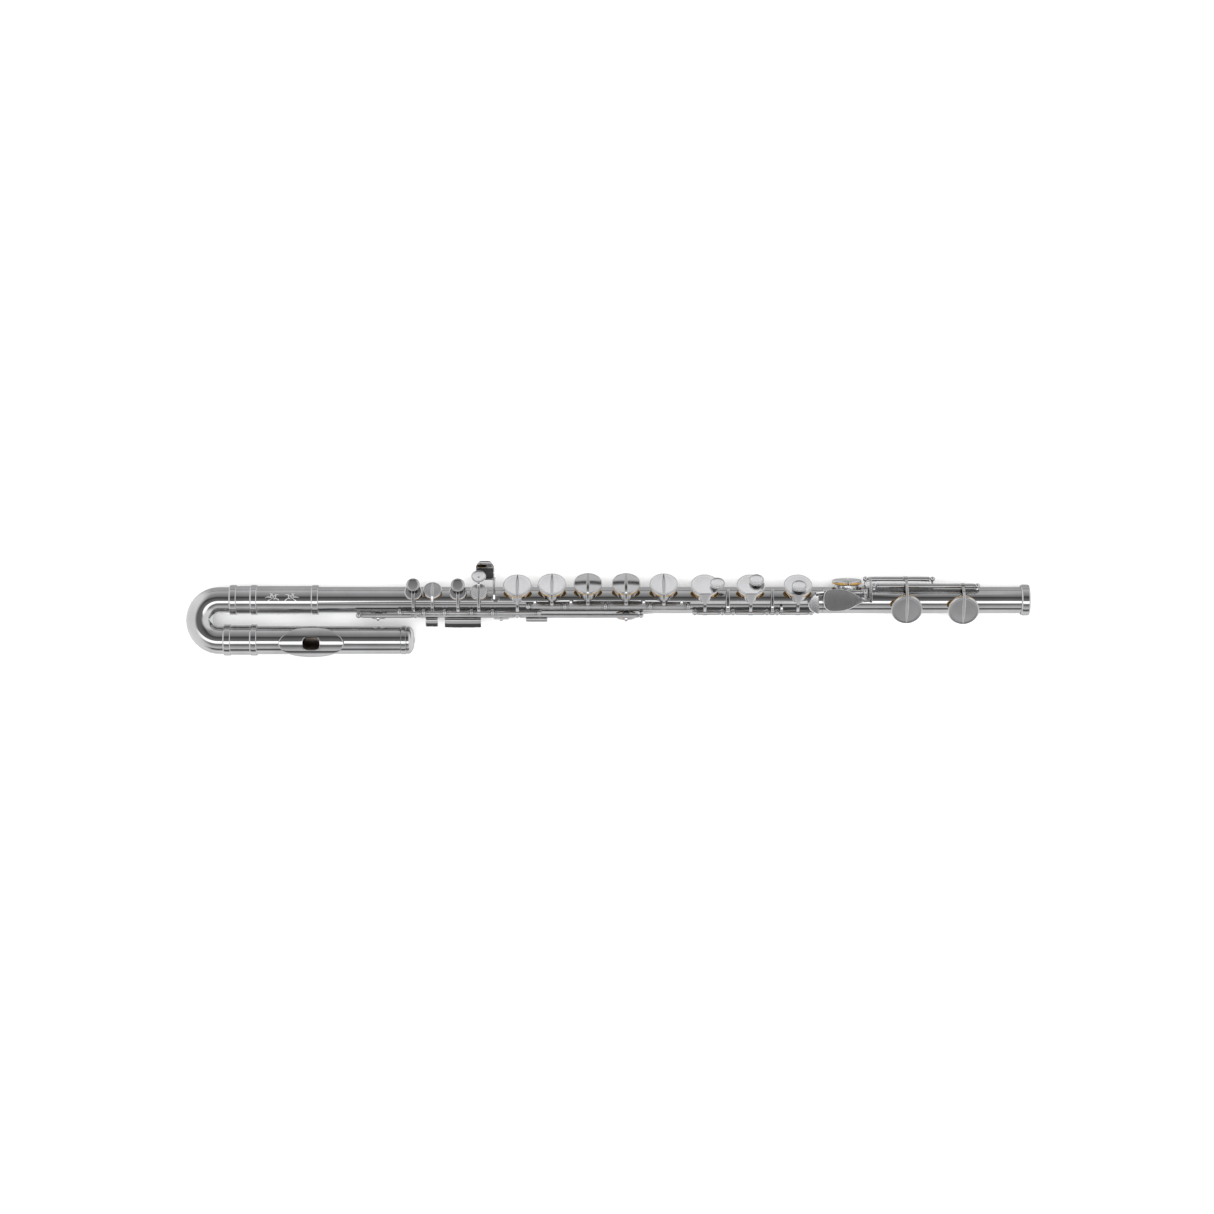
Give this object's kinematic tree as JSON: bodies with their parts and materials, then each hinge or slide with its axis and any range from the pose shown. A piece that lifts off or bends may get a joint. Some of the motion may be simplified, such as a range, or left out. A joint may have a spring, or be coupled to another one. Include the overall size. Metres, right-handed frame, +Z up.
{
  "type": "bass flute",
  "caption": "Bass flute with a U-bend head joint: silver-plated tubes with drawn tone holes, padded keys on hinge rods, posts on ribs, lip plate and hand rest.",
  "frame": {"origin": "centre of the footprint, on the surface the flute lies on", "axes": "+X along the tubes from the U-bend to the foot, +Y across them away from the head tube, +Z up, out of the side the cups face"},
  "size_m": [1.0184, 0.1168, 0.0547],
  "materials": {
    "silver_plate": "silver plate, mirror polished",
    "satin_silver": "silver plate, finely brushed cup faces",
    "hinge_steel": "ground steel rod",
    "key_pad": "amber pad skin over felt",
    "cork": "natural cork"
  },
  "bodies": {
    "flute_body": {"head_tube": "silver_plate", "lip_plate": "silver_plate", "crown_cap": "silver_plate", "head_ferrule": "silver_plate", "crook_bend": "silver_plate", "barrel": "silver_plate", "body_tube": "silver_plate", "foot_tube": "silver_plate", "foot_end_ring": "silver_plate", "left_rib": "silver_plate", "main_rib": "silver_plate", "right_rib": "silver_plate", "foot_rib": "silver_plate", "hand_rest": "silver_plate", "stopper_cork": "cork", "main_hinge_steel": "hinge_steel", "left_hinge_steel": "hinge_steel", "right_hinge_steel": "hinge_steel", "near_hinge_steel": "hinge_steel", "pinky_hinge_steel": "hinge_steel", "foot_inner_hinge_steel": "hinge_steel", "foot_outer_hinge_steel": "hinge_steel"},
    "c_sharp_key_body": {"c_sharp_key": "satin_silver", "c_sharp_key_pad": "key_pad"},
    "lower_trill_key_body": {"lower_trill_key": "satin_silver", "lower_trill_key_pad": "key_pad"},
    "c_key_body": {"c_key": "satin_silver", "c_key_pad": "key_pad"},
    "b_key_body": {"b_key": "satin_silver", "b_key_pad": "key_pad"},
    "a_sharp_key_body": {"a_sharp_key": "satin_silver", "a_sharp_key_pad": "key_pad"},
    "a_key_body": {"a_key": "satin_silver", "a_key_pad": "key_pad"},
    "g_sharp_twin_key_body": {"g_sharp_twin_key": "satin_silver", "g_sharp_twin_key_pad": "key_pad"},
    "g_key_body": {"g_key": "satin_silver", "g_key_pad": "key_pad"},
    "f_sharp_key_body": {"f_sharp_key": "satin_silver", "f_sharp_key_pad": "key_pad"},
    "f_key_body": {"f_key": "satin_silver", "f_key_pad": "key_pad"},
    "e_key_body": {"e_key": "satin_silver", "e_key_pad": "key_pad"},
    "d_key_body": {"d_key": "satin_silver", "d_key_pad": "key_pad"},
    "upper_trill_key_body": {"upper_trill_key": "satin_silver", "upper_trill_key_pad": "key_pad"},
    "thumb_key_body": {"thumb_key": "satin_silver", "thumb_key_pad": "key_pad"},
    "g_sharp_key_body": {"g_sharp_key": "satin_silver", "g_sharp_key_pad": "key_pad"},
    "d_sharp_key_body": {"d_sharp_key": "satin_silver", "d_sharp_key_pad": "key_pad"},
    "low_c_sharp_key_body": {"low_c_sharp_key": "satin_silver", "low_c_sharp_key_pad": "key_pad"},
    "low_c_key_body": {"low_c_key": "satin_silver", "low_c_key_pad": "key_pad"},
    "upper_trill_touch_body": {"upper_trill_touch": "silver_plate"},
    "lower_trill_touch_body": {"lower_trill_touch": "silver_plate"}
  },
  "joints": [
    {"name": "c_sharp_key_hinge", "type": "hinge", "parent": "flute_body", "child": "c_sharp_key_body", "pos_m": [-0.23457, -0.00457, 0.0337], "axis": [1, 0, 0], "range_deg": [-8, 0], "stiffness_Nm_per_rad": 0.03, "springref_deg": 34.38},
    {"name": "lower_trill_key_hinge", "type": "hinge", "parent": "flute_body", "child": "lower_trill_key_body", "pos_m": [-0.21167, -0.00457, 0.0337], "axis": [1, 0, 0], "range_deg": [0, 9], "stiffness_Nm_per_rad": 0.03, "springref_deg": -34.38},
    {"name": "c_key_hinge", "type": "hinge", "parent": "flute_body", "child": "c_key_body", "pos_m": [-0.18077, -0.00457, 0.0337], "axis": [1, 0, 0], "range_deg": [-8, 0], "stiffness_Nm_per_rad": 0.03, "springref_deg": 34.38},
    {"name": "b_key_hinge", "type": "hinge", "parent": "flute_body", "child": "b_key_body", "pos_m": [-0.15577, -0.00457, 0.0337], "axis": [1, 0, 0], "range_deg": [-8, 0], "stiffness_Nm_per_rad": 0.03, "springref_deg": 34.38},
    {"name": "a_sharp_key_hinge", "type": "hinge", "parent": "flute_body", "child": "a_sharp_key_body", "pos_m": [-0.10927, -0.00457, 0.0337], "axis": [1, 0, 0], "range_deg": [-12, 0], "stiffness_Nm_per_rad": 0.03, "springref_deg": 34.38},
    {"name": "a_key_hinge", "type": "hinge", "parent": "flute_body", "child": "a_key_body", "pos_m": [-0.06767, 0.00293, 0.0389], "axis": [1, 0, 0], "range_deg": [-12, 0], "stiffness_Nm_per_rad": 0.03, "springref_deg": 34.38},
    {"name": "g_sharp_twin_key_hinge", "type": "hinge", "parent": "flute_body", "child": "g_sharp_twin_key_body", "pos_m": [-0.02437, 0.00293, 0.0389], "axis": [1, 0, 0], "range_deg": [-12, 0], "stiffness_Nm_per_rad": 0.03, "springref_deg": 34.38},
    {"name": "g_key_hinge", "type": "hinge", "parent": "flute_body", "child": "g_key_body", "pos_m": [0.02163, 0.00293, 0.0389], "axis": [1, 0, 0], "range_deg": [-12, 0], "stiffness_Nm_per_rad": 0.03, "springref_deg": 34.38},
    {"name": "f_sharp_key_hinge", "type": "hinge", "parent": "flute_body", "child": "f_sharp_key_body", "pos_m": [0.06703, 0.00293, 0.0389], "axis": [1, 0, 0], "range_deg": [-12, 0], "stiffness_Nm_per_rad": 0.03, "springref_deg": 34.38},
    {"name": "f_key_hinge", "type": "hinge", "parent": "flute_body", "child": "f_key_body", "pos_m": [0.11653, -0.00457, 0.0337], "axis": [1, 0, 0], "range_deg": [-12, 0], "stiffness_Nm_per_rad": 0.03, "springref_deg": 34.38},
    {"name": "e_key_hinge", "type": "hinge", "parent": "flute_body", "child": "e_key_body", "pos_m": [0.17163, -0.00457, 0.0337], "axis": [1, 0, 0], "range_deg": [-12, 0], "stiffness_Nm_per_rad": 0.03, "springref_deg": 34.38},
    {"name": "d_key_hinge", "type": "hinge", "parent": "flute_body", "child": "d_key_body", "pos_m": [0.22853, -0.00457, 0.0337], "axis": [1, 0, 0], "range_deg": [-12, 0], "stiffness_Nm_per_rad": 0.03, "springref_deg": 34.38},
    {"name": "upper_trill_key_hinge", "type": "hinge", "parent": "flute_body", "child": "upper_trill_key_body", "pos_m": [-0.27787, -0.00797, 0.0276], "axis": [1, 0, 0], "range_deg": [-9, 0], "stiffness_Nm_per_rad": 0.03, "springref_deg": 34.38},
    {"name": "thumb_key_hinge", "type": "hinge", "parent": "flute_body", "child": "thumb_key_body", "pos_m": [-0.12937, -0.00797, 0.0276], "axis": [1, 0, 0], "range_deg": [0, 8], "stiffness_Nm_per_rad": 0.03, "springref_deg": -34.38},
    {"name": "g_sharp_key_hinge", "type": "hinge", "parent": "flute_body", "child": "g_sharp_key_body", "pos_m": [0.02163, -0.00797, 0.0276], "axis": [1, 0, 0], "range_deg": [-9, 0], "stiffness_Nm_per_rad": 0.03, "springref_deg": 34.38},
    {"name": "d_sharp_key_hinge", "type": "hinge", "parent": "flute_body", "child": "d_sharp_key_body", "pos_m": [0.28903, 0.02053, 0.0392], "axis": [1, 0, 0], "range_deg": [0, 12], "stiffness_Nm_per_rad": 0.03, "springref_deg": -34.38},
    {"name": "low_c_sharp_key_hinge", "type": "hinge", "parent": "flute_body", "child": "low_c_sharp_key_body", "pos_m": [0.35923, 0.03633, 0.0264], "axis": [1, 0, 0], "range_deg": [0, 8], "stiffness_Nm_per_rad": 0.03, "springref_deg": -34.38},
    {"name": "low_c_key_hinge", "type": "hinge", "parent": "flute_body", "child": "low_c_key_body", "pos_m": [0.42753, 0.02793, 0.0329], "axis": [1, 0, 0], "range_deg": [0, 8], "stiffness_Nm_per_rad": 0.03, "springref_deg": -34.38},
    {"name": "upper_trill_touch_hinge", "type": "hinge", "parent": "flute_body", "child": "upper_trill_touch_body", "pos_m": [0.14413, -0.00457, 0.0337], "axis": [1, 0, 0], "range_deg": [-9, 0], "stiffness_Nm_per_rad": 0.03, "springref_deg": 34.38},
    {"name": "lower_trill_touch_hinge", "type": "hinge", "parent": "flute_body", "child": "lower_trill_touch_body", "pos_m": [0.19763, -0.00457, 0.0337], "axis": [1, 0, 0], "range_deg": [-9, 0], "stiffness_Nm_per_rad": 0.03, "springref_deg": 34.38}
  ],
  "couplings": [
    {"joint": "g_sharp_twin_key_hinge", "follows": "g_key_hinge", "ratio": 1},
    {"joint": "low_c_key_hinge", "follows": "low_c_sharp_key_hinge", "ratio": 1},
    {"joint": "upper_trill_key_hinge", "follows": "upper_trill_touch_hinge", "ratio": 1},
    {"joint": "lower_trill_key_hinge", "follows": "lower_trill_touch_hinge", "ratio": -1}
  ]
}
